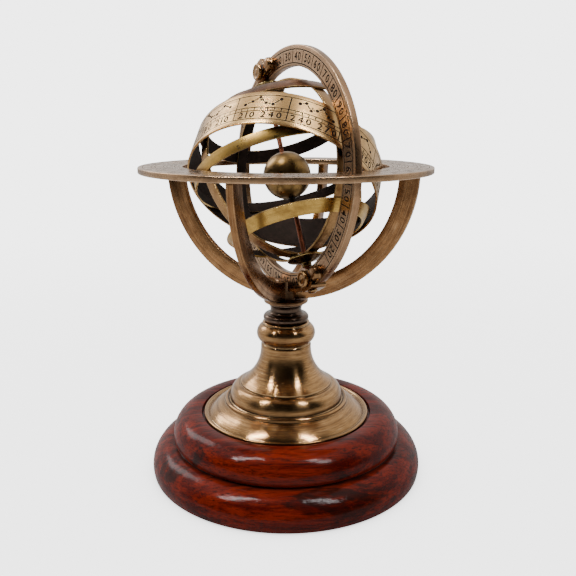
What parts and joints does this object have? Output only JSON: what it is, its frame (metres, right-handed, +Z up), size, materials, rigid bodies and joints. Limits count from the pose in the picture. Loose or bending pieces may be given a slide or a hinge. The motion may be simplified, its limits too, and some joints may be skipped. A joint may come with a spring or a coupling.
{
  "type": "armillary sphere",
  "caption": "Desk armillary sphere: a cage of hoops spins on a tilting polar axis inside an engraved horizon ring, held by a four-arm cradle on a brass foot and a round wooden base.",
  "frame": {"origin": "centre of the felt underside, on the table", "axes": "+Z up along the foot's axis; the meridian ring stands close to the YZ plane, leaning 2.3 degrees towards +X, and the north pole leans towards +Y; the thumb screws are on the -X (west) side"},
  "size_m": [0.1016, 0.1016, 0.1524],
  "materials": {
    "wood": "gloss lacquer",
    "felt": "felt",
    "steel": "zinc plated",
    "turned_brass": "antique, lathe turned",
    "dark_bronze": "dark antique",
    "cradle_brass": "antique, brushed",
    "ring_brass": "antique, engraved",
    "bright_brass": "antique, polished",
    "copper_rod": "dark copper",
    "globe_brass": "antique, polished",
    "black_band": "blackened brass",
    "hoop_brass": "antique, brushed; inner faces blackened",
    "zodiac_brass": "antique, engraved; inner face blackened"
  },
  "bodies": {
    "stand": {"wooden_base": "wood", "base_felt": "felt", "tie_bolt": "steel", "bolt_washer": "steel", "foot": "turned_brass", "stem_collar": "dark_bronze", "hub": "cradle_brass", "cradle_arm_southwest": "cradle_brass", "cradle_arm_southeast": "cradle_brass", "cradle_arm_northeast": "cradle_brass", "cradle_arm_northwest": "cradle_brass", "horizon_ring": "ring_brass", "horizon_screws": "bright_brass"},
    "meridian": {"meridian_ring": "ring_brass", "north_saddle": "bright_brass", "south_saddle": "bright_brass", "axis_rod": "copper_rod", "axis_nuts": "bright_brass", "globe_collar": "black_band"},
    "cage": {"equinoctial_colure": "black_band", "solstitial_colure": "black_band", "equator_hoop": "hoop_brass", "north_tropic_hoop": "hoop_brass", "south_tropic_hoop": "hoop_brass", "zodiac_band": "zodiac_brass", "north_pole_plate": "hoop_brass", "south_pole_plate": "hoop_brass"},
    "ball": {"globe": "globe_brass"},
    "north_screw": {"north_thumb_screw": "bright_brass"},
    "south_screw": {"south_thumb_screw": "bright_brass"}
  },
  "joints": [
    {"name": "meridian_tilt", "type": "hinge", "parent": "stand", "child": "meridian", "pos_m": [0.0017, 0, 0.1101], "axis": [-0.9992, 0, 0.0401], "range_deg": [-9, 39]},
    {"name": "cage_spin", "type": "hinge", "parent": "meridian", "child": "cage", "pos_m": [0.0001, 0, 0.11016], "axis": [0.035, 0.4894, 0.8714], "continuous": true},
    {"name": "globe_spin", "type": "hinge", "parent": "meridian", "child": "ball", "pos_m": [0.00005, -0.00069, 0.10894], "axis": [0.035, 0.4894, 0.8714], "continuous": true},
    {"name": "north_screw_turn", "type": "hinge", "parent": "meridian", "child": "north_screw", "pos_m": [0.00307, 0.01923, 0.14434], "axis": [-0.9992, 0, 0.0401], "range_deg": [0, 180]},
    {"name": "south_screw_turn", "type": "hinge", "parent": "meridian", "child": "south_screw", "pos_m": [0.00032, -0.01923, 0.07586], "axis": [-0.9992, 0, 0.0401], "range_deg": [0, 180]}
  ]
}
